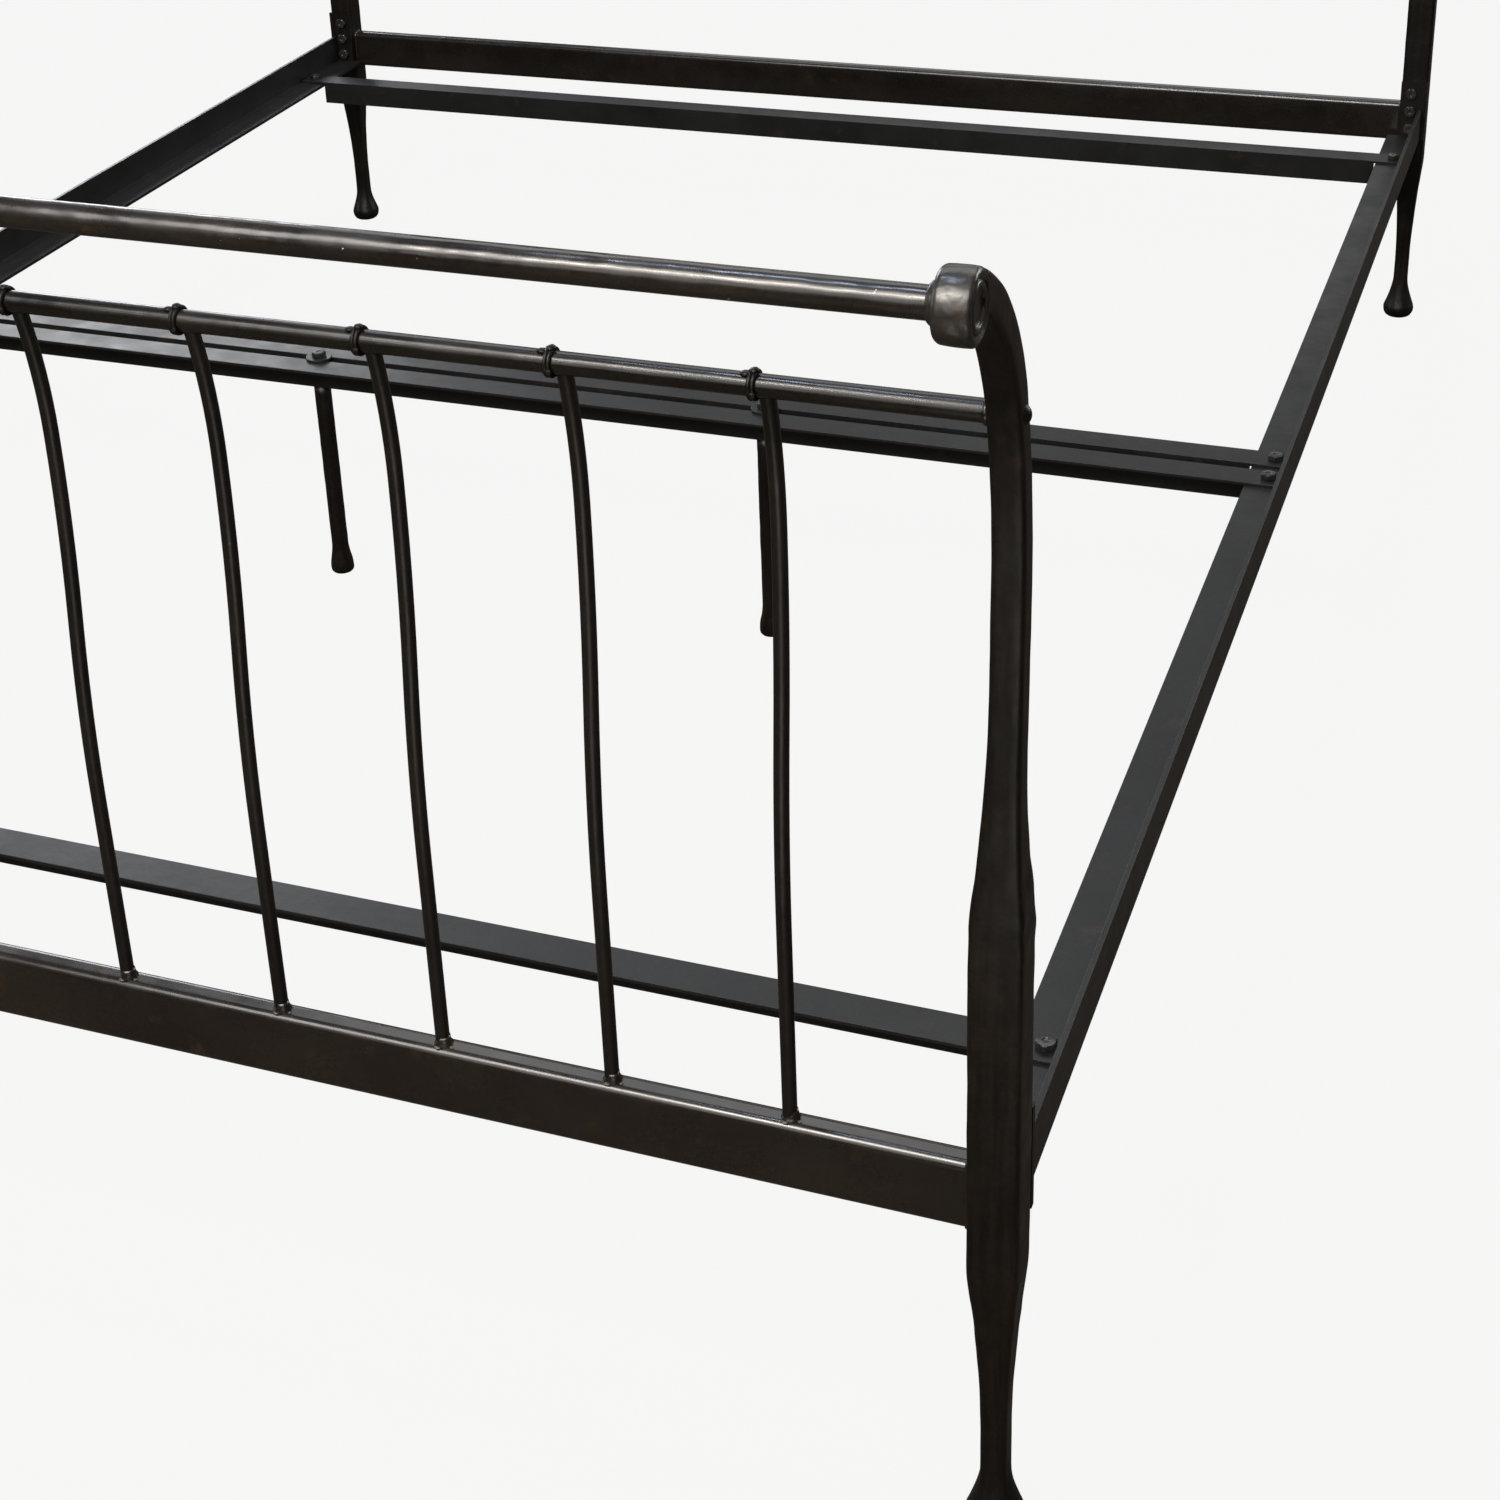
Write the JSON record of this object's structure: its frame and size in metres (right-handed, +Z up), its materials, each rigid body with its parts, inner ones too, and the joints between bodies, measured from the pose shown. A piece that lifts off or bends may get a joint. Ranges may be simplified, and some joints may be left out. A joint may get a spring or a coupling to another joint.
{
  "type": "sleigh bed frame",
  "caption": "Metal sleigh bed frame with outward-curling head and foot boards, round spindles, angle-iron side rails, cross slats and centre support legs.",
  "frame": {"origin": "on the floor, under the middle of the bed", "axes": "+Z up, +Y along the bed towards the head board, +X across the bed, to the right seen from the foot"},
  "size_m": [1.5672, 2.31, 1.223],
  "materials": {
    "board_paint": "semi-gloss, hammered",
    "rail_paint": "semi-gloss",
    "angle_paint": "satin",
    "bolt_steel": "dull"
  },
  "bodies": {
    "root": {"foot_post_left": "board_paint", "foot_eye_left": "board_paint", "foot_post_right": "board_paint", "foot_eye_right": "board_paint", "foot_top_rail": "rail_paint", "foot_second_rail": "rail_paint", "foot_lower_rail": "rail_paint", "foot_spindle_01": "board_paint", "foot_spindle_02": "board_paint", "foot_spindle_03": "board_paint", "foot_spindle_04": "board_paint", "foot_spindle_05": "board_paint", "foot_spindle_06": "board_paint", "foot_spindle_07": "board_paint", "foot_spindle_08": "board_paint", "foot_spindle_09": "board_paint", "foot_spindle_10": "board_paint", "foot_spindle_11": "board_paint", "foot_spindle_12": "board_paint", "foot_spindle_ties": "board_paint", "foot_rail_rivets": "board_paint", "head_post_left": "board_paint", "head_eye_left": "board_paint", "head_post_right": "board_paint", "head_eye_right": "board_paint", "head_top_rail": "rail_paint", "head_second_rail": "rail_paint", "head_lower_rail": "rail_paint", "head_spindle_01": "board_paint", "head_spindle_02": "board_paint", "head_spindle_03": "board_paint", "head_spindle_04": "board_paint", "head_spindle_05": "board_paint", "head_spindle_06": "board_paint", "head_spindle_07": "board_paint", "head_spindle_08": "board_paint", "head_spindle_09": "board_paint", "head_spindle_10": "board_paint", "head_spindle_11": "board_paint", "head_spindle_12": "board_paint", "head_spindle_ties": "board_paint", "head_rail_rivets": "board_paint", "head_middle_rail": "rail_paint", "side_rail_left": "angle_paint", "centre_leg_left": "board_paint", "end_plate_foot_left": "board_paint", "end_plate_head_left": "board_paint", "side_rail_right": "angle_paint", "centre_leg_right": "board_paint", "end_plate_foot_right": "board_paint", "end_plate_head_right": "board_paint", "foot_slat": "angle_paint", "middle_slat_front": "angle_paint", "middle_slat_rear": "angle_paint", "head_slat": "angle_paint", "end_plate_bolts": "bolt_steel", "slat_bolts": "bolt_steel", "slat_nuts": "bolt_steel", "centre_leg_washers": "bolt_steel", "centre_leg_bolts": "bolt_steel"}
  },
  "joints": []
}
